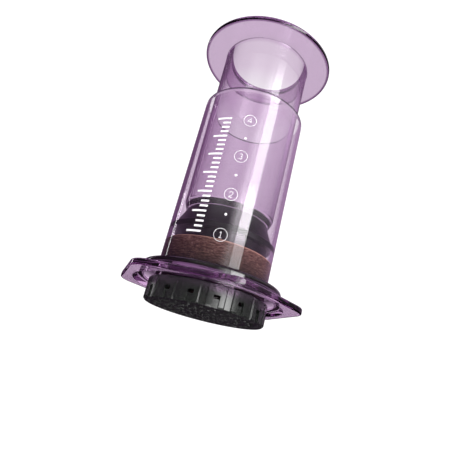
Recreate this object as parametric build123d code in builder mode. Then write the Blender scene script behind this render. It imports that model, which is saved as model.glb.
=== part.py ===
from build123d import *
import os

# Piston coffee press. Millimetres, +Z up the press axis, origin at the centre of the
# filter cap's flat bottom face, numerals side towards -Y. Angles are in degrees.

# Driving sizes
paper_diameter = 63.5
barrel_length = 110.4
chamber_wall = 2.3
rim_wall = 2.05
flange_across_flats = 97.4
flange_corner_radius = 14.6
plate_thickness = 3.5
hub_reach = 9.1
hub_height = 6.5
cap_height = 12.0
cap_wall = 2.4
cap_floor = 2.2
puck_thickness = 33.8
tube_length = 115.25
tube_wall = 2.2
grip_diameter = 85.1
grip_thickness = 2.3

# Clearances
running_gap = 0.05
fit_gap = 0.3
tube_clearance = 2.6
overrun = 1.0

# Filter paper
paper_thickness = 0.2
paper_clamp_width = 1.95

# Chamber
collar_wall = 1.4
lug_height = 0.9
lug_thickness = 1.6
lug_lift = 2.3
cap_nesting = 1.3
hub_wall = 2.8
hub_roof = 2.4
hub_lean = 0.4
hub_shoulder_round = 1.9
barrel_foot_round = 0.8
mouth_step_width = 3.3
mouth_step_depth = 2.1
mouth_flare = 2.2
stop_rib_gap = 1.6
stop_rib_width = 1.8
stop_rib_setback = 1.2
plate_edge_round = 0.9
rim_round = 0.7
flange_turn = 47.6
stop_rib_centre = -100.5
stop_rib_arc = 40.0

# Filter cap
module_count = 16
module_turn = 10.5
lug_arc = 6.4
window_arc = 5.7
notch_depth = 0.9
tab_gap = 0.2
tab_thickness = 1.8
tab_arc = 5.7
window_margin = 0.1
panel_depth = 0.4
panel_arc = 6.3
panel_offset = 10.8
cap_foot_chamfer = 0.8
cap_top_round = 0.4
drain_radius = 2.3
drain_pitch = 6.8
drain_rings = 4
drain_chamfer = 0.35

# Plunger seal
seal_skirt_height = 6.2
seal_lip_height = 3.6
seal_cone_height = 11.2
seal_skirt_inset = 2.25
seal_lip_step = 0.5
seal_top_inset = 0.9
seal_edge_round = 0.6

# Plunger
tube_spread = 0.75
foot_chamfer_height = 4.3
foot_chamfer_width = 1.9
tube_floor = 3.8
neck_radius = 11.0
neck_length = 5.0
head_radius = 13.5
head_length = 4.5
head_round = 1.0
grip_edge_round = 0.95
tube_mouth_round = 1.2
tube_foot_round = 1.5
grip_under_round = 1.5

# Radii from the bore outwards
bore_radius = paper_diameter / 2 - paper_clamp_width
collar_radius = bore_radius + collar_wall
lug_radius = collar_radius + lug_height
barrel_radius = bore_radius + chamber_wall
rim_radius = bore_radius + rim_wall
hub_radius = barrel_radius + hub_reach
cap_bore_radius = lug_radius + fit_gap
cap_radius = cap_bore_radius + cap_wall
tab_radius = collar_radius + fit_gap

# Heights from the cap's bottom face upwards
collar_z = cap_floor + paper_thickness
lug_z = collar_z + lug_lift
tab_z = lug_z + lug_thickness + tab_gap
plate_z = cap_height - cap_nesting
plate_top_z = plate_z + plate_thickness
hub_top_z = plate_top_z + hub_height
rim_z = hub_top_z + barrel_length
puck_top_z = collar_z + puck_thickness
lip_z = puck_top_z + seal_skirt_height
lip_top_z = lip_z + seal_lip_height
seal_top_z = lip_top_z + seal_cone_height
foot_top_z = seal_top_z + foot_chamfer_height
grip_z = seal_top_z + tube_length
grip_top_z = grip_z + grip_thickness


def ring_sector(inner_radius, outer_radius, bottom, height, centre, arc):
    """A piece of a flat ring between two radii, around the angle centre."""
    with BuildPart() as sector:
        with BuildSketch(Plane.XY.offset(bottom)):
            with BuildLine():
                outer = CenterArc((0, 0), outer_radius, centre - arc / 2, arc)
                inner = CenterArc((0, 0), inner_radius, centre - arc / 2, arc)
                Line(outer @ 0, inner @ 0)
                Line(outer @ 1, inner @ 1)
            make_face()
        extrude(amount=height)
    return sector.part


def corner(sketch, across, up):
    """The sketch's vertex nearest to a point of its own plane."""
    return sketch.vertices().sort_by_distance((across, up, 0))[0]


def circles_at(part, radius, height):
    """The part's full circle edges of one radius at one height."""
    tolerance = running_gap / 5
    circles = part.edges().filter_by(GeomType.CIRCLE)
    same_size = circles.filter_by(lambda edge: abs(edge.radius - radius) < tolerance)
    return same_size.filter_by(lambda edge: abs(edge.center().Z - height) < tolerance)


# Chamber: barrel, domed hub and hexagonal flange in one moulding
collar_lug = ring_sector(collar_radius - lug_height / 2, lug_radius, lug_z, lug_thickness, module_turn, lug_arc)
cavity_radius = hub_radius - hub_wall
cavity_roof_z = hub_top_z - hub_roof
mouth_radius = cavity_radius + mouth_step_width
mouth_z = plate_z + mouth_step_depth
stop_rib_radius = cap_radius + stop_rib_gap
stop_rib_z = plate_z + stop_rib_setback
stop_rib = ring_sector(stop_rib_radius, stop_rib_radius + stop_rib_width, stop_rib_z,
                       cavity_roof_z + hub_roof / 2 - stop_rib_z, stop_rib_centre, stop_rib_arc)
shoulder_radius = hub_radius - hub_lean

with BuildPart() as chamber:
    with BuildSketch(Plane.XY.offset(plate_z)):
        RegularPolygon(radius=flange_across_flats / 2, side_count=6, major_radius=False, rotation=flange_turn)
        fillet(vertices(), flange_corner_radius)
    extrude(amount=plate_thickness)
    fillet(faces().sort_by(Axis.Z)[0].edges() + faces().sort_by(Axis.Z)[-1].edges(), plate_edge_round)
    with BuildSketch(Plane.XZ) as wall:
        with BuildLine():
            Polyline(
                (bore_radius, collar_z),
                (collar_radius, collar_z),
                (collar_radius, plate_z + plate_thickness / 2),
                (hub_radius, plate_z + plate_thickness / 2),
                (hub_radius, plate_top_z),
                (shoulder_radius, hub_top_z),
                (barrel_radius, hub_top_z),
                (rim_radius, rim_z),
                (bore_radius, rim_z),
                close=True,
            )
        make_face()
        fillet(corner(wall, shoulder_radius, hub_top_z), hub_shoulder_round)
        fillet(corner(wall, barrel_radius, hub_top_z), barrel_foot_round)
        fillet(corner(wall, rim_radius, rim_z), rim_round)
        fillet(corner(wall, bore_radius, rim_z), rim_round)
    revolve(axis=Axis.Z)
    with BuildSketch(Plane.XZ) as cavity:
        with BuildLine():
            Polyline(
                (barrel_radius, plate_z - overrun),
                (mouth_radius + mouth_flare, plate_z - overrun),
                (mouth_radius + mouth_flare, plate_z),
                (mouth_radius, mouth_z),
                (cavity_radius, mouth_z),
                (cavity_radius - hub_lean, cavity_roof_z),
                (barrel_radius, cavity_roof_z),
                close=True,
            )
        make_face()
    revolve(axis=Axis.Z, mode=Mode.SUBTRACT)
    with BuildSketch(Plane.XY.offset(collar_z - overrun)):
        Circle(bore_radius)
    extrude(amount=rim_z - rim_round - collar_z + overrun, mode=Mode.SUBTRACT)
    add(stop_rib)
    with PolarLocations(0, module_count):
        add(collar_lug)
chamber.part.label = "chamber"

# Filter cap: ribbed side with a window and a notch in every module, perforated floor
cap_notch = ring_sector(cap_radius - notch_depth, cap_radius + overrun, -overrun,
                        tab_z + overrun, module_turn, window_arc)
cap_window = ring_sector(cap_bore_radius - overrun, cap_radius + overrun, lug_z - window_margin,
                         tab_z - lug_z + window_margin, module_turn, window_arc)
cap_panel = ring_sector(cap_radius - panel_depth, cap_radius + overrun, -overrun,
                        cap_height + 2 * overrun, module_turn + panel_offset, panel_arc)
cap_tab = ring_sector(tab_radius, cap_bore_radius + cap_wall / 2, tab_z, tab_thickness, module_turn, tab_arc)

with BuildPart() as filter_cap:
    with BuildSketch(Plane.XY):
        Circle(cap_radius)
    extrude(amount=cap_height)
    chamfer(circles_at(filter_cap.part, cap_radius, 0), cap_foot_chamfer)
    fillet(circles_at(filter_cap.part, cap_radius, cap_height), cap_top_round)
    with BuildSketch(Plane.XY.offset(cap_floor)):
        Circle(cap_bore_radius)
    extrude(amount=cap_height, mode=Mode.SUBTRACT)
    with PolarLocations(0, module_count):
        add(cap_notch, mode=Mode.SUBTRACT)
        add(cap_window, mode=Mode.SUBTRACT)
        add(cap_panel, mode=Mode.SUBTRACT)
        add(cap_tab)
    with BuildSketch(Plane.XY):
        Circle(drain_radius)
        for ring in range(1, drain_rings + 1):
            with PolarLocations(ring * drain_pitch, 6 * ring):
                Circle(drain_radius)
    extrude(amount=cap_floor, mode=Mode.SUBTRACT)
    chamfer(circles_at(filter_cap.part, drain_radius, 0), drain_chamfer)
filter_cap.part.label = "filter_cap"

# Paper filter, held between the cap's floor and the chamber's lower edge
with BuildPart() as paper_filter:
    with BuildSketch(Plane.XY.offset(cap_floor)):
        Circle(paper_diameter / 2)
    extrude(amount=paper_thickness)
paper_filter.part.label = "paper_filter"

# Pressed coffee that the seal stands on
with BuildPart() as coffee_puck:
    with BuildSketch(Plane.XY.offset(collar_z)):
        Circle(bore_radius - running_gap)
    extrude(amount=puck_thickness)
coffee_puck.part.label = "coffee_puck"

# Plunger radii
lip_radius = bore_radius - running_gap
skirt_radius = lip_radius - seal_skirt_inset
tube_foot_radius = bore_radius - tube_clearance
tube_top_radius = tube_foot_radius + tube_spread
foot_radius = tube_foot_radius - foot_chamfer_width
seal_top_radius = foot_radius - seal_top_inset
well_radius = tube_foot_radius - tube_wall
neck_z = seal_top_z - neck_length
head_z = neck_z - head_length

# Seal: rubber cone with a sliding lip, stretched over the plunger's knob
with BuildPart() as plunger_seal:
    with BuildSketch(Plane.XZ) as seal_outline:
        with BuildLine():
            Polyline(
                (0, puck_top_z),
                (skirt_radius, puck_top_z),
                (skirt_radius, lip_z - seal_lip_step),
                (lip_radius, lip_z),
                (lip_radius, lip_top_z - seal_lip_step),
                (lip_radius - seal_lip_step, lip_top_z),
                (seal_top_radius, seal_top_z),
                (neck_radius + fit_gap, seal_top_z),
                (neck_radius + fit_gap, neck_z + fit_gap),
                (head_radius + fit_gap, neck_z + fit_gap),
                (head_radius + fit_gap, head_z - fit_gap),
                (0, head_z - fit_gap),
                close=True,
            )
        make_face()
        fillet(corner(seal_outline, skirt_radius, puck_top_z), seal_edge_round)
        fillet(corner(seal_outline, seal_top_radius, seal_top_z), seal_edge_round)
    revolve(axis=Axis.Z)
plunger_seal.part.label = "plunger_seal"

# Plunger: knob, closed tube and round grip flange in one moulding
with BuildPart() as plunger_tube:
    with BuildSketch(Plane.XZ) as tube_outline:
        with BuildLine():
            Polyline(
                (0, head_z),
                (head_radius, head_z),
                (head_radius, neck_z),
                (neck_radius, neck_z),
                (neck_radius, seal_top_z),
                (foot_radius, seal_top_z),
                (tube_foot_radius, foot_top_z),
                (tube_top_radius, grip_z),
                (grip_diameter / 2, grip_z),
                (grip_diameter / 2, grip_top_z),
                (well_radius, grip_top_z),
                (well_radius, seal_top_z + tube_floor),
                (0, seal_top_z + tube_floor),
                close=True,
            )
        make_face()
        fillet(corner(tube_outline, head_radius, head_z), head_round)
        fillet(corner(tube_outline, tube_foot_radius, foot_top_z), tube_foot_round)
        fillet(corner(tube_outline, tube_top_radius, grip_z), grip_under_round)
        fillet(corner(tube_outline, grip_diameter / 2, grip_z), grip_edge_round)
        fillet(corner(tube_outline, grip_diameter / 2, grip_top_z), grip_edge_round)
        fillet(corner(tube_outline, well_radius, grip_top_z), tube_mouth_round)
        fillet(corner(tube_outline, well_radius, seal_top_z + tube_floor), tube_foot_round)
    revolve(axis=Axis.Z)
plunger_tube.part.label = "plunger_tube"

os.makedirs("parts", exist_ok=True)
export_step(chamber.part, "parts/chamber.step")
export_step(filter_cap.part, "parts/filter_cap.step")
export_step(paper_filter.part, "parts/paper_filter.step")
export_step(coffee_puck.part, "parts/coffee_puck.step")
export_step(plunger_seal.part, "parts/plunger_seal.step")
export_step(plunger_tube.part, "parts/plunger_tube.step")
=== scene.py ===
import math

import bmesh
import bpy
from mathutils import Matrix, Vector, noise


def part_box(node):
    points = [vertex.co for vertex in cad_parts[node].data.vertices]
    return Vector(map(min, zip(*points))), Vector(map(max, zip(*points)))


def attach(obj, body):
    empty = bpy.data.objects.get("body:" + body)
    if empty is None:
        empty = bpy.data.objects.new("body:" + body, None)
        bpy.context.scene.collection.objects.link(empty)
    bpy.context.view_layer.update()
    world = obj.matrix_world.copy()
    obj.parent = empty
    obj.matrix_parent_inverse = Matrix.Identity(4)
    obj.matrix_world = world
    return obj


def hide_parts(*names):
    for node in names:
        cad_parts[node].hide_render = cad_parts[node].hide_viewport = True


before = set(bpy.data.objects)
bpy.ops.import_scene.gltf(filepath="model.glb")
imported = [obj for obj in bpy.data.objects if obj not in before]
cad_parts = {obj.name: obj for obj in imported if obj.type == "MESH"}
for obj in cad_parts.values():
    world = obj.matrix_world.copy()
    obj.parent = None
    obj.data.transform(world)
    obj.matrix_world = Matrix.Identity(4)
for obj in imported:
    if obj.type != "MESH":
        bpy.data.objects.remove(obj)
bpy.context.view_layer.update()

# Sizes are in metres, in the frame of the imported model: +Z up the press axis, numerals
# towards -Y. Angles are in degrees.

mm = 0.001
scene = bpy.context.scene

chamber_low, chamber_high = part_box("chamber")
_, cap_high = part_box("filter_cap")
puck_low, puck_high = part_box("coffee_puck")
seal_low, seal_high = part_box("plunger_seal")
plunger_low, plunger_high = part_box("plunger_tube")

# The rubber lip and the wet coffee press into the bore by the contact.
running_gap = 0.05 * mm
contact = 0.05 * mm
bore_radius = puck_high.x + running_gap
rim_z = chamber_high.z
collar_z = chamber_low.z
cap_radius = cap_high.x
cap_top_z = cap_high.z
grip_radius = plunger_high.x
grip_top_z = plunger_high.z

# Roundings that several pieces share
fine_round = 0.2 * mm
edge_round = 0.3 * mm


# Meshes


def rounded(corners, steps=5, hold=0.05 * mm):
    """Points of an outline through (radius, height, rounding) corners.

    A rounding is an arc in even steps. One more point, held just outside each end of the arc,
    keeps the shading flat beyond it."""
    points = []
    for i, (r, z, rounding) in enumerate(corners):
        here = Vector((r, z))
        if rounding == 0 or i in (0, len(corners) - 1):
            points.append(here)
            continue
        back = (Vector(corners[i - 1][:2]) - here).normalized()
        on = (Vector(corners[i + 1][:2]) - here).normalized()
        half = back.angle(on) / 2
        reach = rounding / math.tan(half)
        centre = here + (back + on).normalized() * rounding / math.sin(half)
        first = here + back * reach
        last = here + on * reach
        sweep = math.pi - 2 * half
        points.append(first + back * hold)
        for step in range(steps + 1):
            share = step / steps
            of_first = math.sin((1 - share) * sweep) / math.sin(sweep)
            of_last = math.sin(share * sweep) / math.sin(sweep)
            points.append(centre + (first - centre) * of_first + (last - centre) * of_last)
        points.append(last + on * hold)
    return points


def even_angles(count):
    return [360 * i / count for i in range(count)]


def turned(section, angles, closed=False, on_axis=1e-7):
    """Vertices and faces of a turned form. section is its outline, or gives it for each angle.

    closed joins each outline's end to its start. Points on the axis are shared by all outlines."""
    vertices = []
    columns = []
    poles = {}
    for angle in angles:
        turn = math.radians(angle)
        outline = section(angle) if callable(section) else section
        column = []
        for place, (r, z) in enumerate(outline):
            if r < on_axis:
                if place not in poles:
                    poles[place] = len(vertices)
                    vertices.append((0, 0, z))
                column.append(poles[place])
            else:
                column.append(len(vertices))
                vertices.append((r * math.cos(turn), r * math.sin(turn), z))
        columns.append(column)
    faces = []
    for i, column in enumerate(columns):
        beside = columns[(i + 1) % len(columns)]
        count = len(column)
        for here in range(count if closed else count - 1):
            after = (here + 1) % count
            corners = [column[here], beside[here], beside[after], column[after]]
            face = list(dict.fromkeys(corners))
            if len(face) > 2:
                faces.append(face)
    return vertices, faces


def mesh_object(name, vertices, faces, material, smooth):
    mesh = bpy.data.meshes.new(name)
    mesh.from_pydata(vertices, [], faces)
    mesh.validate()
    mesh.update()
    for polygon in mesh.polygons:
        polygon.use_smooth = smooth
    mesh.materials.append(material)
    made = bpy.data.objects.new(name, mesh)
    scene.collection.objects.link(made)
    return made


def piece(name, vertices, faces, material, body, slot=None, smooth=True):
    """A mesh piece that rides on its body."""
    made = mesh_object(name, vertices, faces, material, smooth)
    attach(made, body)
    return made


def turned_piece(name, section, angles, material, body, slot, closed=False):
    """A turned piece with all its faces outwards."""
    made = piece(name, *turned(section, angles, closed), material, body, slot)
    shell = bmesh.new()
    shell.from_mesh(made.data)
    bmesh.ops.recalc_face_normals(shell, faces=shell.faces)
    shell.to_mesh(made.data)
    shell.free()
    return made


# Shader nodes

# Most values of a noise lie between these two.
noise_low = 0.3
noise_high = 0.7


def grey(value):
    return (value, value, value)


def greys(*stops):
    """(position, grey colour) stops from (position, value) pairs."""
    return tuple((position, grey(value)) for position, value in stops)


def give(tree, socket, value):
    """Gives an input a socket to link, a number, a vector, or a colour as red, green and blue."""
    if isinstance(value, bpy.types.NodeSocket):
        tree.links.new(value, socket)
    elif socket.type == "RGBA":
        socket.default_value = (*value, 1)
    else:
        socket.default_value = value


def feed(tree, target, **inputs):
    """Gives some of a node's inputs by name, where _ stands for a space."""
    for name, value in inputs.items():
        give(tree, target.inputs[name.replace("_", " ")], value)


def node(tree, kind, **inputs):
    made = tree.nodes.new(kind)
    feed(tree, made, **inputs)
    return made


def new_material(name):
    """A material, its node tree and its Principled shader."""
    made = bpy.data.materials.new(name)
    made.use_nodes = True
    return made, made.node_tree, made.node_tree.nodes["Principled BSDF"]


def place_parts(tree, space):
    """X, Y and Z of the shaded point in Object space, or of the world's ray in Generated space."""
    place = tree.nodes.new("ShaderNodeTexCoord")
    parts = node(tree, "ShaderNodeSeparateXYZ", Vector=place.outputs[space])
    return parts.outputs["X"], parts.outputs["Y"], parts.outputs["Z"]


def axis_distances(tree):
    """The shaded point's distance from the press axis and its height, in the piece's own space."""
    x, y, height = place_parts(tree, "Object")
    flat = node(tree, "ShaderNodeCombineXYZ", X=x, Y=y)
    length = tree.nodes.new("ShaderNodeVectorMath")
    length.operation = "LENGTH"
    give(tree, length.inputs[0], flat.outputs["Vector"])
    return length.outputs["Value"], height


def object_noise(tree, scale, detail, roughness=0.5, stretch=(1, 1, 1)):
    """Noise that is fixed to the piece. scale is per metre, and stretch multiplies it by axis."""
    place = tree.nodes.new("ShaderNodeTexCoord")
    mapping = node(tree, "ShaderNodeMapping", Vector=place.outputs["Object"], Scale=stretch)
    made = node(tree, "ShaderNodeTexNoise", Vector=mapping.outputs["Vector"], Scale=scale, Detail=detail,
                Roughness=roughness)
    return made.outputs["Fac"]


def math_node(tree, operation, first, second, clamped=False):
    """The result of a Math node for two values, each a socket or a number."""
    made = tree.nodes.new("ShaderNodeMath")
    made.operation = operation
    made.use_clamp = clamped
    give(tree, made.inputs[0], first)
    give(tree, made.inputs[1], second)
    return made.outputs["Value"]


def spread(tree, value, low, high, start=noise_low, end=noise_high):
    """Maps a value from start..end to low..high, and keeps it within those."""
    made = node(tree, "ShaderNodeMapRange", Value=value,
                From_Min=start, From_Max=end, To_Min=low, To_Max=high)
    return made.outputs["Result"]


def bump(tree, height, strength, distance, normal=None):
    """A normal with bumps from a height, on top of another normal if there is one."""
    made = node(tree, "ShaderNodeBump", Height=height, Strength=strength, Distance=distance)
    if normal:
        feed(tree, made, Normal=normal)
    return made.outputs["Normal"]


def colours(tree, value, *stops):
    """A colour ramp through (position, colour) stops."""
    ramp = node(tree, "ShaderNodeValToRGB", Fac=value)
    elements = ramp.color_ramp.elements
    while len(elements) < len(stops):
        elements.new(0.5)
    for element, (position, colour) in zip(elements, stops):
        element.position = position
        element.color = (*colour, 1)
    return ramp.outputs["Color"]


def mottled(tree, value, dark, pale):
    """Two colours spread over a noise."""
    return colours(tree, value, (noise_low, dark), (noise_high, pale))


def banded(tree, value, stops):
    """Colours at (place, colour) stops along a value in metres."""
    low, high = stops[0][0], stops[-1][0]
    shares = [((place - low) / (high - low), colour) for place, colour in stops]
    return colours(tree, spread(tree, value, 0, 1, low, high), *shares)


def mixed(tree, factor, first, second, blend="MIX"):
    """Two colours mixed. Each is a socket or a colour, and the factor a socket or a number."""
    made = tree.nodes.new("ShaderNodeMix")
    made.data_type = "RGBA"
    made.blend_type = blend
    made.clamp_factor = True
    sides = [socket for socket in made.inputs if socket.type == "RGBA"]
    for socket, value in zip([made.inputs["Factor"], *sides], (factor, first, second)):
        give(tree, socket, value)
    return next(socket for socket in made.outputs if socket.type == "RGBA")


def multiplied(tree, first, second):
    return mixed(tree, 1, first, second, "MULTIPLY")


def added(tree, first, second):
    return mixed(tree, 1, first, second, "ADD")


# Clear plastic of the chamber and the plunger

untinted = grey(1)


def clear_plastic(name, absorption, tint_and_shade_by_height, tint_and_shade_by_radius):
    """Clear tinted plastic. absorption is what one millimetre takes away of red, green and blue.

    The tints are (place, colour) stops: the plastic's own tint, and painted shade that deepens thick
    stretches and edges."""
    made, tree, shader = new_material(name)
    flow = object_noise(tree, scale=90, detail=2)
    across, height = axis_distances(tree)
    # The base colour multiplies the tints by height and by radius, painted shade included.
    tint_and_shade = multiplied(tree, banded(tree, height, tint_and_shade_by_height), banded(tree, across, tint_and_shade_by_radius))
    feed(tree, shader, IOR=1.5, Transmission_Weight=1,
         Base_Color=tint_and_shade,
         Roughness=spread(tree, flow, 0, 0.018),
         Normal=bump(tree, flow, strength=0.02, distance=0.1 * mm))

    # A volume absorbs its density times what its colour lacks.
    density = 2 * max(absorption) / mm
    passed = [1 - part / mm / density for part in absorption]
    volume = node(tree, "ShaderNodeVolumeAbsorption", Color=passed, Density=density)
    feed(tree, tree.nodes["Material Output"], Volume=volume.outputs["Volume"])
    return made


# Chamber: barrel, domed hub and hexagonal flange in one clear moulding

chamber_wall = 2.3 * mm
rim_wall = 2.05 * mm
rim_round = 0.7 * mm
mouth_lead_width = 0.7 * mm
mouth_lead_height = 2.4 * mm
mouth_lead_round = 0.4 * mm
mouth_foot_round = 0.5 * mm
barrel_radius = bore_radius + chamber_wall
barrel_foot_round = 0.8 * mm

collar_radius = bore_radius + 1.4 * mm
collar_start_z = collar_z + 1 * mm
lug_count = 16
lug_pitch = 360 / lug_count
lug_turn = 10.5
lug_arc = 6.4
lug_height = 0.9 * mm
lug_thickness = 1.6 * mm
lug_slope = 0.05 * mm
lug_z = collar_z + 2.3 * mm

flange_across_flats = 97.4 * mm
flange_corner_radius = 14.6 * mm
flange_turn = 47.6
flange_pitch = 60
plate_z = cap_top_z - 1.3 * mm
plate_top_z = plate_z + 3.5 * mm
plate_edge_round = 0.9 * mm

hub_top_z = plate_top_z + 6.5 * mm
hub_radius = barrel_radius + 9.1 * mm
hub_foot_round = 0.5 * mm
shoulder_radius = hub_radius - 0.4 * mm
shoulder_round = 1.9 * mm

hollow_radius = hub_radius - 2.8 * mm
hollow_roof_z = hub_top_z - 2.4 * mm
hollow_roof_radius = hollow_radius - 0.4 * mm
hollow_roof_drop = 0.6 * mm
hollow_roof_margin = 0.1 * mm
hollow_side_margin = 0.05 * mm
ledge_z = plate_z + 2.1 * mm
ledge_radius = hollow_radius + 3.3 * mm
ledge_flare = 2.2 * mm
ledge_foot_round = 0.4 * mm

rib_inner = cap_radius + 1.6 * mm
rib_outer = rib_inner + 1.2 * mm
rib_margin = 0.3 * mm
rib_foot_z = plate_z + 1.2 * mm
rib_centre = -100.5
rib_arc = 40

# Angles on each side of a step in the form, and how far other angles stay from it
step_gap = 0.06
step_room = 0.2


def turn_from(centre, angle, pitch=360):
    """The turn from centre to angle the shorter way, for a form that repeats at every pitch."""
    return (angle - centre + pitch / 2) % pitch - pitch / 2


def in_arc(angle, centre, arc, pitch=360):
    return abs(turn_from(centre, angle, pitch)) < arc / 2


def flange_reach(angle):
    """Distance from the axis to the edge of the rounded hexagon at an angle.

    turn is from the nearest corner, and corner is where the centre of its rounding lies."""
    turn = abs(math.radians(turn_from(flange_turn, angle, flange_pitch)))
    half_pitch = math.radians(flange_pitch / 2)
    apothem = flange_across_flats / 2
    corner = (apothem - flange_corner_radius) / math.cos(half_pitch)
    arc_end = math.atan2(math.sin(half_pitch) * flange_corner_radius,
                         corner + math.cos(half_pitch) * flange_corner_radius)
    if turn < arc_end:
        across = corner * math.sin(turn)
        return corner * math.cos(turn) + math.sqrt(flange_corner_radius ** 2 - across ** 2)
    return apothem / math.cos(half_pitch - turn)


def hollow_roof(angle):
    """The roof of the hollow under the hub, with the stop rib where it stands."""
    rib = rounded([
        (rib_inner, hollow_roof_z, 0),
        (rib_inner, rib_foot_z, edge_round),
        (rib_outer, rib_foot_z, edge_round),
        (rib_outer, hollow_roof_z - hollow_roof_drop, 0),
    ])
    if in_arc(angle, rib_centre, rib_arc):
        return rib
    width = hollow_roof_radius - hollow_roof_margin - rib_inner
    last = len(rib) - 1
    return [Vector((rib_inner + width * i / last, hollow_roof_z)) for i in range(len(rib))]


def chamber_section(angle):
    """The closed outline at an angle, round the collar, through the hollow and over the barrel."""
    lug = lug_height if in_arc(angle, lug_turn, lug_arc, lug_pitch) else 0
    reach = flange_reach(angle)
    collar = rounded([
        (bore_radius, collar_start_z, 0),
        (bore_radius, collar_z, fine_round),
        (collar_radius, collar_z, edge_round),
        (collar_radius, lug_z - lug_slope, 0),
        (collar_radius + lug, lug_z, 0),
        (collar_radius + lug, lug_z + lug_thickness, 0),
        (collar_radius, lug_z + lug_thickness + lug_slope, 0),
        (collar_radius, plate_z, edge_round),
        (barrel_radius, plate_z, fine_round),
        (barrel_radius, hollow_roof_z, barrel_foot_round),
        (rib_inner - rib_margin, hollow_roof_z, 0),
    ])
    outside = rounded([
        (hollow_roof_radius + hollow_side_margin, hollow_roof_z - hollow_roof_drop, 0),
        (hollow_radius, ledge_z, edge_round),
        (ledge_radius, ledge_z, edge_round),
        (ledge_radius + ledge_flare, plate_z, ledge_foot_round),
        (reach, plate_z, plate_edge_round),
        (reach, plate_top_z, plate_edge_round),
        (hub_radius, plate_top_z, hub_foot_round),
        (shoulder_radius, hub_top_z, shoulder_round),
        (barrel_radius, hub_top_z, barrel_foot_round),
        (bore_radius + rim_wall, rim_z, rim_round),
        (bore_radius + mouth_lead_width, rim_z, mouth_lead_round),
        (bore_radius, rim_z - mouth_lead_height, mouth_foot_round),
        (bore_radius, hub_top_z, 0),
    ])
    return [*collar, *hollow_roof(angle), *outside]


def chamber_angles():
    """Whole degrees, and a close pair of angles at each side of the rib and of every lug."""
    lugs = [(lug_turn + i * lug_pitch, lug_arc) for i in range(lug_count)]
    angles = set(range(360))
    for centre, arc in [(rib_centre, rib_arc), *lugs]:
        for side in (centre - arc / 2, centre + arc / 2):
            angles = {angle for angle in angles if abs(turn_from(side, angle)) > step_room}
            angles |= {(side - step_gap) % 360, (side + step_gap) % 360}
    return sorted(angles)


# Tints by height and by radius. The walls and the flange plate have the plastic's own tint. The hub's foot,
# the hub, its roof and the shoulder are painted ever darker, and the top of the rim nearly black: painted
# shade where the clear plastic looks dark.
wall_tint = (0.98, 0.935, 0.985)
rim_painted_shade = (0.04, 0.016, 0.05)
plate_tint = (0.88, 0.69, 0.90)
hub_foot_painted_shade = (0.66, 0.50, 0.68)
hub_painted_shade = (0.42, 0.32, 0.43)
hub_roof_painted_shade = (0.22, 0.15, 0.23)
shoulder_painted_shade = (0.16, 0.115, 0.165)
rib_painted_shade = (0.40, 0.36, 0.40)
chamber_absorption = (0.033, 0.056, 0.032)
chamber_tints_and_painted_shade = (
    (collar_z, plate_tint),
    (plate_top_z, plate_tint),
    (plate_top_z + 0.8 * mm, hub_foot_painted_shade),
    (plate_top_z + 2.6 * mm, hub_painted_shade),
    (plate_top_z + 3.8 * mm, hub_roof_painted_shade),
    (hub_top_z - 1 * mm, shoulder_painted_shade),
    (hub_top_z, shoulder_painted_shade),
    (hub_top_z + 1 * mm, wall_tint),
    (rim_z - 0.9 * mm, wall_tint),
    (rim_z - 0.5 * mm, rim_painted_shade),
)
# Painted shade: the chamber is painted darker at the stop rib's radius.
rib_painted_shades = (
    (0, untinted),
    (rib_inner - 0.3 * mm, untinted),
    (rib_inner - 0.1 * mm, rib_painted_shade),
    (rib_outer + 0.1 * mm, rib_painted_shade),
    (rib_outer + 0.3 * mm, untinted),
    (flange_across_flats, untinted),
)

chamber_plastic = clear_plastic("clear_plastic", chamber_absorption, chamber_tints_and_painted_shade, rib_painted_shades)
chamber_piece = turned_piece("chamber_moulding", chamber_section, chamber_angles(), chamber_plastic,
                             "chamber", "clear_plastic", closed=True)
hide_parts("chamber")

# Plunger: knob, hollow tube and round grip flange in one clear moulding

head_z = plunger_low.z
head_radius = 13.5 * mm
head_round = 1.0 * mm
neck_z = head_z + 4.5 * mm
neck_radius = 11.0 * mm
foot_z = seal_high.z
foot_top_z = foot_z + 4.3 * mm
tube_foot_radius = bore_radius - 2.6 * mm
tube_top_radius = tube_foot_radius + 0.75 * mm
tube_top_round = 0.6 * mm
foot_radius = tube_foot_radius - 1.9 * mm
well_radius = tube_foot_radius - 2.2 * mm
well_floor_z = foot_z + 3.8 * mm
well_mouth_round = 0.4 * mm
grip_z = grip_top_z - 2.8 * mm
grip_top_round = 0.95 * mm
broad_round = 1.5 * mm
plunger_sides = 288

plunger_outline = rounded([
    (0, head_z, 0),
    (head_radius, head_z, head_round),
    (head_radius, neck_z, edge_round),
    (neck_radius, neck_z, edge_round),
    (neck_radius, foot_z, edge_round),
    (foot_radius, foot_z, edge_round),
    (tube_foot_radius, foot_top_z, broad_round),
    (tube_top_radius, grip_z, tube_top_round),
    (grip_radius, grip_z, broad_round),
    (grip_radius, grip_top_z, grip_top_round),
    (well_radius, grip_top_z, well_mouth_round),
    (well_radius, well_floor_z, broad_round),
    (0, well_floor_z, 0),
], steps=6)

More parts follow.
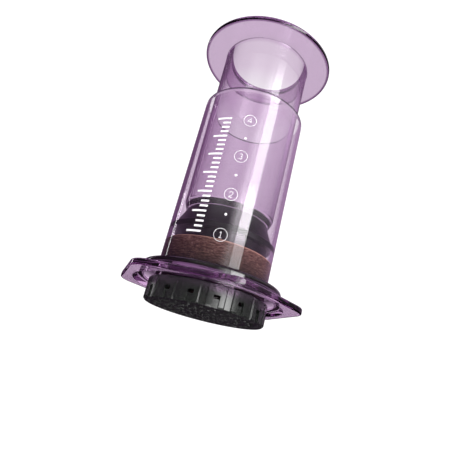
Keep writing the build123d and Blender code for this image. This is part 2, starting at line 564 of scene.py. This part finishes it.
# Tints by height and by radius. The tube has the plastic's own tint, lighter up to a little above the
# chamber's rim. The grip flange is painted darker, and its edge much darker: painted shade where the clear
# plastic looks dark.
low_tube_tint = (0.82, 0.765, 0.83)
tube_tint = (0.73, 0.61, 0.74)
grip_painted_shade = (0.60, 0.46, 0.615)
grip_edge_painted_shade = (0.20, 0.10, 0.22)
plunger_absorption = (0.008, 0.014, 0.007)
plunger_tints_and_painted_shade = (
    (0, low_tube_tint),
    (rim_z + 6 * mm, low_tube_tint),
    (rim_z + 20 * mm, tube_tint),
    (grip_z - 2 * mm, tube_tint),
    (grip_z, grip_painted_shade),
)
grip_edge_painted_shades = (
    (0, untinted),
    (grip_radius - 2.0 * mm, untinted),
    (grip_radius - 1.1 * mm, grip_edge_painted_shade),
)

plunger_plastic = clear_plastic("clear_plastic_plunger", plunger_absorption, plunger_tints_and_painted_shade, grip_edge_painted_shades)
plunger_piece = turned_piece("plunger_moulding", plunger_outline, even_angles(plunger_sides),
                             plunger_plastic, "plunger", "clear_plastic")
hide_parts("plunger_tube")

# Seal: rubber cone with a sliding lip

seal_foot_z = seal_low.z
seal_top_z = seal_high.z
seal_top_radius = foot_radius - 0.9 * mm
seal_round = 0.6 * mm
skirt_radius = seal_high.x - 2.25 * mm
lip_radius = bore_radius + contact
lip_z = seal_foot_z + 6.2 * mm
lip_top_z = lip_z + 3.6 * mm
lip_slope = 0.5 * mm
lip_round = 0.35 * mm
socket_gap = 0.3 * mm
seal_sides = 256

seal_outline = rounded([
    (0, seal_foot_z, 0),
    (skirt_radius, seal_foot_z, seal_round),
    (skirt_radius, lip_z - lip_slope, fine_round),
    (lip_radius, lip_z, lip_round),
    (lip_radius, lip_top_z - lip_slope, lip_round),
    (lip_radius - lip_slope, lip_top_z, fine_round),
    (seal_top_radius, seal_top_z, seal_round),
    (neck_radius + socket_gap, seal_top_z, edge_round),
    (neck_radius + socket_gap, neck_z + socket_gap, fine_round),
    (head_radius + socket_gap, neck_z + socket_gap, edge_round),
    (head_radius + socket_gap, head_z - socket_gap, seal_round),
    (0, head_z - socket_gap, 0),
])


def rubber():
    made, tree, shader = new_material("seal_rubber")
    grain = object_noise(tree, scale=900, detail=3)
    patches = object_noise(tree, scale=70, detail=3)
    feed(tree, shader, IOR=1.5,
         Base_Color=mottled(tree, patches, dark=(0.005, 0.004, 0.006), pale=(0.010, 0.008, 0.011)),
         Roughness=spread(tree, patches, 0.34, 0.5),
         Normal=bump(tree, grain, strength=0.15, distance=0.05 * mm))
    return made


seal_piece = turned_piece("seal_moulding", seal_outline, even_angles(seal_sides), rubber(),
                          "seal", "seal_rubber")
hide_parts("plunger_seal")

# Pressed coffee, wet against the bore

puck_radius = bore_radius + contact
puck_sides = 256
puck_rings = 40
puck_round = 0.3 * mm
puck_edge_width = 0.25 * mm
puck_dip = 0.35 * mm
puck_dip_at_edge = 0.3
puck_dip_width = 1 * mm
puck_bump_size = 1.3 * mm


def puck_top(r, angle):
    """Height of the coffee's uneven top, which dips less near its edge."""
    turn = math.radians(angle)
    place = Vector((r * math.cos(turn), r * math.sin(turn), 0)) / puck_bump_size
    share = min(1, (puck_radius - r) / puck_dip_width + puck_dip_at_edge)
    return puck_high.z - puck_dip * (0.5 + 0.5 * noise.noise(place)) * share


def puck_section(angle):
    edge_z = puck_top(puck_radius, angle)
    rings = [puck_radius * (i / puck_rings) for i in reversed(range(puck_rings))]
    return [
        Vector((0, puck_low.z)),
        Vector((puck_radius - puck_round, puck_low.z)),
        Vector((puck_radius, puck_low.z + puck_round)),
        Vector((puck_radius, edge_z - puck_round)),
        Vector((puck_radius - puck_edge_width, edge_z)),
        *[Vector((r, puck_top(r, angle))) for r in rings],
    ]


streak_colours = (
    (0.37, (0.036, 0.016, 0.014)),
    (0.50, (0.13, 0.066, 0.052)),
    (0.63, (0.42, 0.25, 0.195)),
)
speckle_shades = ((0.32, (0.45, 0.40, 0.38)), (0.6, grey(1)))
height_shades = greys((0.54, 0.2), (0.98, 1.25))
light_edge = (0.52, 0.30, 0.20)
light_edge_drop = (0.75 * mm, 0.35 * mm)
light_edge_inset = (1.2 * mm, 0.6 * mm)


def coffee():
    """Wet ground coffee: streaky brown, darker towards the cap, with a lighter edge round its top."""
    made, tree, shader = new_material("coffee")
    streaks = object_noise(tree, scale=420, detail=8, roughness=0.8, stretch=(1, 1, 6))
    grains = object_noise(tree, scale=1700, detail=4, roughness=0.65)
    across, height = axis_distances(tree)
    grounds = multiplied(tree, colours(tree, streaks, *streak_colours),
                         colours(tree, grains, *speckle_shades))
    rise = spread(tree, height, 0, 1, collar_z, puck_high.z)
    shaded = multiplied(tree, grounds, colours(tree, rise, *height_shades))
    near_top = spread(tree, height, 0, 1, *[puck_high.z - drop for drop in light_edge_drop])
    near_wall = spread(tree, across, 0, 1, *[bore_radius - inset for inset in light_edge_inset])
    edge = math_node(tree, "MULTIPLY", near_top, near_wall)
    feed(tree, shader, Specular_IOR_Level=0.25,
         Base_Color=mixed(tree, edge, shaded, light_edge),
         Roughness=spread(tree, grains, 0.45, 0.7),
         Normal=bump(tree, grains, strength=0.5, distance=0.15 * mm))
    return made


puck_piece = turned_piece("pressed_coffee", puck_section, even_angles(puck_sides), coffee(),
                          "chamber", "coffee")
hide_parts("coffee_puck")

# Filter cap and paper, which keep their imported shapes

panel_turn = lug_turn + 10.8
panel_arc = 6.3
panel_edge = 0.5
panel_depth = 0.35 * mm


def black_plastic():
    """Satin black plastic with a fine upright grain and softened edges at the cap's panels."""
    made, tree, shader = new_material("black_plastic")
    grain = object_noise(tree, scale=1500, detail=3, stretch=(1, 1, 0.06))
    speckle = object_noise(tree, scale=2500, detail=2)

    x, y, _ = place_parts(tree, "Object")
    turn = math_node(tree, "SUBTRACT", math_node(tree, "ARCTAN2", y, x), math.radians(panel_turn))
    from_centre = math_node(tree, "PINGPONG", turn, math.radians(lug_pitch / 2))
    raised = spread(tree, from_centre, 0, 1, math.radians(panel_arc / 2 - panel_edge),
                    math.radians(panel_arc / 2 + panel_edge))
    rounding = node(tree, "ShaderNodeBevel", Radius=0.08 * mm)
    rounding.samples = 8
    panels = bump(tree, raised, strength=1, distance=panel_depth, normal=rounding.outputs["Normal"])

    feed(tree, shader, IOR=1.5, Specular_IOR_Level=0.65,
         Base_Color=mottled(tree, grain, dark=(0.013, 0.016, 0.013), pale=(0.017, 0.020, 0.017)),
         Roughness=spread(tree, speckle, 0.22, 0.26),
         Normal=bump(tree, grain, strength=0.05, distance=0.05 * mm, normal=panels))
    return made


def paper():
    """Filter paper, stained by the coffee."""
    made, tree, shader = new_material("filter_paper")
    fibres = object_noise(tree, scale=700, detail=5, roughness=0.7, stretch=(1, 0.35, 1))
    stains = object_noise(tree, scale=110, detail=4)
    feed(tree, shader, Roughness=0.9,
         Base_Color=colours(tree, stains, (0.3, (0.20, 0.10, 0.045)), (0.62, (0.42, 0.26, 0.14))),
         Normal=bump(tree, fibres, strength=0.4, distance=0.05 * mm))
    return made


for name, material in (("filter_cap", black_plastic()), ("paper_filter", paper())):
    cad_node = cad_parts[name]
    cad_node.data.materials.clear()
    cad_node.data.materials.append(material)

# Printed marks on the barrel

ink_lift = 0.04 * mm
ink_depth = 0.03 * mm
marks_azimuth = -90
first_mark_z = 38.0 * mm
mark_pitch = 11.8 * mm
circle_radius = 3.6 * mm
line_width = 0.18 * mm
numeral_height = 3.3 * mm
numeral_width = 0.175 * mm
dot_radius = 0.68 * mm
scale_azimuth = -117.5
ticks_per_mark = 4
tick_height = 1.1 * mm
long_tick = 9.0 * mm
short_tick = 4.8 * mm


def barrel_surface(z):
    """The barrel's outer radius at a height."""
    share = (z - hub_top_z) / (rim_z - hub_top_z)
    return barrel_radius + (bore_radius + rim_wall - barrel_radius) * share


def wrapped(flat, azimuth, centre_z, lift):
    """A flat point, (across, up), laid on the barrel around an azimuth and a height."""
    z = centre_z + flat[1]
    radius = barrel_surface(z) + lift
    turn = math.radians(azimuth) + flat[0] / radius
    return (radius * math.cos(turn), radius * math.sin(turn), z)


def bow(centre, radius, start, end, steps=14):
    """Points of a flat arc."""
    angles = [math.radians(start + (end - start) * i / steps) for i in range(steps + 1)]
    return [(centre[0] + radius * math.cos(a), centre[1] + radius * math.sin(a)) for a in angles]


def dense(path, step=0.35 * mm):
    """The path with points added, so that it can follow the barrel."""
    points = [Vector(path[0])]
    for start, end in zip(path, path[1:]):
        start, end = Vector(start), Vector(end)
        parts = max(1, round((end - start).length / step))
        points += [start.lerp(end, (i + 1) / parts) for i in range(parts)]
    return points


def ribbon(path, width, closed):
    """Left and right edges of a line of even width along a flat path, and whether it is closed.

    At a sharp corner the edges stand at most a whole width from the path."""
    count = len(path)
    left, right = [], []
    for i, point in enumerate(path):
        here = Vector(point)
        before = Vector(path[i - 1]) if closed or i else here
        after = Vector(path[(i + 1) % count]) if closed or i < count - 1 else here
        into = (here - before).normalized() if (here - before).length else (after - here).normalized()
        out = (after - here).normalized() if (after - here).length else into
        along = (into + out).normalized()
        stretch = 1 / max(0.5, along.dot(into))
        side = Vector((-along.y, along.x)) * width / 2 * stretch
        left.append(here + side)
        right.append(here - side)
    return left, right, closed


def line(path, width):
    return ribbon(dense(path), width, False)


def ring(radius, width, steps):
    return ribbon(bow((0, 0), radius, 0, 360, steps)[:-1], width, True)


def printed(name, ribbons, azimuth, centre_z, material):
    """Thin ink on the barrel along flat ribbons."""
    vertices, faces = [], []
    for left, right, closed in ribbons:
        start = len(vertices)
        count = len(left)
        for lift in (ink_lift + ink_depth, ink_lift - ink_depth):
            vertices += [wrapped(point, azimuth, centre_z, lift) for point in (*left, *right)]
        rows = [range(start + row * count, start + (row + 1) * count) for row in range(4)]
        top_left, top_right, under_left, under_right = rows
        for i in range(count if closed else count - 1):
            j = (i + 1) % count
            faces.append((top_left[i], top_right[i], top_right[j], top_left[j]))
            faces.append((under_left[i], under_left[j], under_right[j], under_right[i]))
            faces.append((top_left[i], top_left[j], under_left[j], under_left[i]))
            faces.append((top_right[i], under_right[i], under_right[j], top_right[j]))
        if not closed:
            for i in (0, count - 1):
                faces.append((top_left[i], under_left[i], under_right[i], top_right[i]))
    piece(name, vertices, faces, material, "chamber", smooth=False)


# Strokes of the plain numerals 1 to 4, one unit high and centred
numerals = (
    [[(-0.2, 0.3), (0.02, 0.5), (0.02, -0.5)], [(-0.25, -0.5), (0.28, -0.5)]],
    [[*bow((0, 0.2), 0.29, 165, -35), (-0.3, -0.5), (0.32, -0.5)]],
    [[*bow((-0.02, 0.245), 0.255, 150, -90), *bow((-0.02, -0.245), 0.27, 90, -155)]],
    [[(0.14, -0.5), (0.14, 0.5), (-0.38, -0.2), (0.4, -0.2)]],
)


def barrel_marks(material):
    """Circled numerals up the barrel, with a dot between each two."""
    for number, strokes in enumerate(numerals, start=1):
        z = first_mark_z + 2 * mark_pitch * (number - 1)
        circle = ring(circle_radius, line_width, steps=72)
        printed(f"mark_circle_{number}", [circle], marks_azimuth, z, material)
        scaled = [[(x * numeral_height, y * numeral_height) for x, y in stroke] for stroke in strokes]
        lines = [line(stroke, numeral_width) for stroke in scaled]
        printed(f"mark_numeral_{number}", lines, marks_azimuth, z, material)
        if number < len(numerals):
            dot = ring(dot_radius / 2, dot_radius, steps=36)
            printed(f"mark_dot_{number}", [dot], marks_azimuth, z + mark_pitch, material)


def barrel_scale(material):
    """A plain measuring scale beside the marks, with a long tick at every numeral and dot."""
    edge = long_tick / 2
    tick_pitch = mark_pitch / ticks_per_mark
    ticks = []
    for i in range(2 * (len(numerals) - 1) * ticks_per_mark + 1):
        length = short_tick if i % ticks_per_mark else long_tick
        ticks.append(line([(edge - length, i * tick_pitch), (edge, i * tick_pitch)], tick_height))
    printed("mark_scale", ticks, scale_azimuth, first_mark_z, material)


def white_ink():
    made, tree, shader = new_material("white_ink")
    mottle = object_noise(tree, scale=1200, detail=3)
    feed(tree, shader, IOR=1.45,
         Base_Color=mottled(tree, mottle, dark=(0.90, 0.90, 0.91), pale=grey(0.97)),
         Roughness=spread(tree, mottle, 0.3, 0.45))
    return made


ink = white_ink()
barrel_marks(ink)
barrel_scale(ink)

# Floor, well below the press

floor_z = -0.30
floor_reach = 60.0


def floor_paint():
    made, tree, shader = new_material("floor_paint")
    mottle = object_noise(tree, scale=5, detail=3)
    feed(tree, shader, Roughness=0.85, Specular_IOR_Level=0.1,
         Base_Color=mottled(tree, mottle, dark=grey(0.88), pale=grey(0.90)))
    return made


floor_corners = [
    (x * floor_reach, y * floor_reach, floor_z) for x, y in ((-1, -1), (1, -1), (1, 1), (-1, 1))
]
floor = mesh_object("floor", floor_corners, [(0, 1, 2, 3)], floor_paint(), smooth=False)
floor.visible_glossy = False
floor.visible_transmission = False

# Camera, fitted to the photo; the principal point and the picture's size are in pixels

camera_place = Vector((0.01175, -0.2473, -0.0317))
camera_heading = -0.944
camera_pitch = 17.65
camera_roll = 13.98
camera_lens = 34.72
camera_sensor = 36
principal_point = (235.18, 240.59)
picture_size = 450

heading, pitch, roll = (math.radians(a) for a in (camera_heading, camera_pitch, camera_roll))
ahead = math.cos(pitch)
forward = Vector((math.sin(heading) * ahead, math.cos(heading) * ahead, math.sin(pitch)))
level = forward.cross(Vector((0, 0, 1))).normalized()
upright = level.cross(forward)
right = level * math.cos(roll) + upright * math.sin(roll)
up = upright * math.cos(roll) - level * math.sin(roll)

camera_data = bpy.data.cameras.new("camera")
camera_data.sensor_width = camera_sensor
camera_data.lens = camera_lens
camera_data.shift_x = 0.5 - principal_point[0] / picture_size
camera_data.shift_y = principal_point[1] / picture_size - 0.5
camera_data.clip_start = 0.01
camera_data.clip_end = 200
camera = bpy.data.objects.new("camera", camera_data)
scene.collection.objects.link(camera)
camera.matrix_world = Matrix((
    (right.x, up.x, -forward.x, camera_place.x),
    (right.y, up.y, -forward.y, camera_place.y),
    (right.z, up.z, -forward.z, camera_place.z),
    (0, 0, 0, 1),
))
scene.camera = camera

# Strip lights behind the press on the left

strip_distance = 0.9


def strip_light(name, azimuth, low, high, width, radiance):
    """A tall area light facing the press axis, between two heights."""
    height = high - low
    data = bpy.data.lights.new(name, "AREA")
    data.shape = "RECTANGLE"
    data.size = width
    data.size_y = height
    data.energy = radiance * math.pi * width * height
    made = bpy.data.objects.new(name, data)
    scene.collection.objects.link(made)
    turn = math.radians(azimuth)
    made.location = (strip_distance * math.cos(turn), strip_distance * math.sin(turn), (low + high) / 2)
    made.rotation_euler = (math.radians(90), 0, turn + math.radians(90))


strip_light("edge_light", azimuth=152, low=0.08, high=0.24, width=0.10, radiance=4)
strip_light("strip_back_left", azimuth=150, low=0.42, high=0.80, width=0.04, radiance=1.5)
strip_light("strip_low_left", azimuth=150, low=0.22, high=0.42, width=0.05, radiance=4)

# World: a light has (azimuth, colour) stops, and its rise (upward part of the ray, colour) stops

# The white backdrop, as it is seen straight, through the plastic, and through it from below
backdrop_straight = 1.15
backdrop_through = 1.0
backdrop_below = 1.5
backdrop_span = (-0.5, 0.1)

# The dim room that a reflected ray sees, darker below
room_dusk = 0.1
room_horizon = (-0.05, 0.3)
room_light = (
    (-180, (0.16, 0.085, 0.17)), (-140, (0.24, 0.17, 0.25)), (-118, grey(0.12)), (-35, grey(0.12)),
    (15, (0.25, 0.19, 0.26)), (45, (0.42, 0.29, 0.44)), (80, (0.36, 0.22, 0.38)),
    (120, (0.14, 0.07, 0.15)), (180, (0.16, 0.085, 0.17)),
)

# The bright panel that it sees in front
front_light = greys(
    (-180, 0), (-140, 0), (-118, 1.3), (-100, 1.3), (-87, 0.9), (-60, 1.4), (-37, 1.8), (-25, 1.2),
    (15, 0.7), (35, 0), (180, 0),
)
front_rise = greys(
    (0, 0), (0.31, 0.03), (0.345, 0.14), (0.37, 0.5), (0.41, 0.8), (0.53, 1), (0.62, 1), (0.67, 0.2),
    (0.70, 0),
)

# The mauve room that it sees instead after many passes through the plastic
inner_passes = (0, 6)
inner_light = (
    (-180, (0.26, 0.17, 0.27)), (-110, (0.40, 0.30, 0.42)), (-75, (0.5, 0.40, 0.52)),
    (-20, (0.5, 0.40, 0.52)), (60, (0.40, 0.29, 0.42)), (120, (0.20, 0.12, 0.21)),
    (180, (0.26, 0.17, 0.27)),
)
inner_rise = greys((0, 0.8), (0.35, 0.95), (0.50, 1.4), (0.61, 2.2), (0.66, 0.4), (0.75, 0.06))

# The glow below, for rays that have passed through the plastic
glow = 1.1
glow_span = (-0.3, -0.02)

# The soft box in front, a tall bright strip that leans a little and fades after some passes
soft_box_lean = 9
soft_box_passes = (2, 6)
soft_box = greys(
    (-180, 0), (-84, 0), (-79, 0.06), (-73, 0.16), (-67, 0.38), (-62, 0.30), (-59.5, 0.22), (-59.0, 1),
    (-37.4, 1), (-36.9, 0), (180, 0),
)
soft_box_rise = greys(
    (0, 8.5), (0.21, 8.5), (0.25, 6), (0.30, 6), (0.33, 12), (0.39, 12), (0.43, 5.6), (0.61, 5.6),
    (0.65, 0),
)

# The lamps that a scattered ray sees, and the sky above for both kinds of ray
lamp_light = greys(
    (-180, 0.15), (-130, 0.15), (-100, 0.4), (-65, 7.5), (-40, 5.5), (-10, 0.6), (40, 0.4), (120, 0.2),
    (180, 0.15),
)
sky_rise = ((0, grey(0)), (0.72, grey(0)), (0.85, (0.58, 0.40, 0.61)))


def by_azimuth(tree, around, light):
    """A light's colour, where around is the azimuth as a share of a turn from -180."""
    return colours(tree, around, *[((azimuth + 180) / 360, colour) for azimuth, colour in light])


def lit(tree, around, light, rise, light_rise):
    """A light's colour by its azimuth and its rise."""
    return multiplied(tree, by_azimuth(tree, around, light), colours(tree, rise, *light_rise))


def room_seen(tree, rays, around, rise):
    """What a reflected or a scattered ray sees."""
    passes = rays["Transmission Depth"]
    dusk = spread(tree, rise, room_dusk, 1, *room_horizon)
    dim_room = multiplied(tree, by_azimuth(tree, around, room_light), dusk)
    outer = added(tree, dim_room, lit(tree, around, front_light, rise, front_rise))
    inner = lit(tree, around, inner_light, rise, inner_rise)
    walls = mixed(tree, spread(tree, passes, 0, 1, *inner_passes), outer, inner)
    below = multiplied(tree, spread(tree, rise, glow, 0, *glow_span), spread(tree, passes, 0, 1, 0, 1))
    leaning = spread(tree, rise, soft_box_lean / 360 / 2, -soft_box_lean / 360 / 2, 0, 1)
    box = lit(tree, math_node(tree, "ADD", around, leaning), soft_box, rise, soft_box_rise)
    fading_box = multiplied(tree, box, spread(tree, passes, 1, 0, *soft_box_passes))
    reflected = added(tree, added(tree, walls, below), fading_box)
    scattered = by_azimuth(tree, around, lamp_light)
    seen = mixed(tree, rays["Diffuse Depth"], reflected, scattered)
    return added(tree, seen, colours(tree, rise, *sky_rise))


def studio_world():
    """A white backdrop for what is seen straight or through the plastic, and the room for all else."""
    world = bpy.data.worlds.new("studio")
    world.use_nodes = True
    tree = world.node_tree
    rays = tree.nodes.new("ShaderNodeLightPath").outputs
    x, y, rise = place_parts(tree, "Generated")
    around = spread(tree, math_node(tree, "ARCTAN2", y, x), 0, 1, -math.pi, math.pi)

    backdrop = tree.nodes["Background"]
    through = spread(tree, rise, backdrop_below, backdrop_through, *backdrop_span)
    feed(tree, backdrop, Color=mixed(tree, rays["Is Camera Ray"], through, grey(backdrop_straight)))
    room = node(tree, "ShaderNodeBackground", Color=room_seen(tree, rays, around, rise))

    bounces = math_node(tree, "ADD", rays["Glossy Depth"], rays["Diffuse Depth"], clamped=True)
    mix = node(tree, "ShaderNodeMixShader", Fac=bounces)
    give(tree, mix.inputs[1], backdrop.outputs["Background"])
    give(tree, mix.inputs[2], room.outputs["Background"])
    feed(tree, tree.nodes["World Output"], Surface=mix.outputs["Shader"])
    return world


scene.world = studio_world()
scene.view_settings.view_transform = "Standard"
scene.cycles.max_bounces = 24
scene.cycles.transmission_bounces = 24
scene.cycles.glossy_bounces = 8
scene.cycles.use_denoising = True
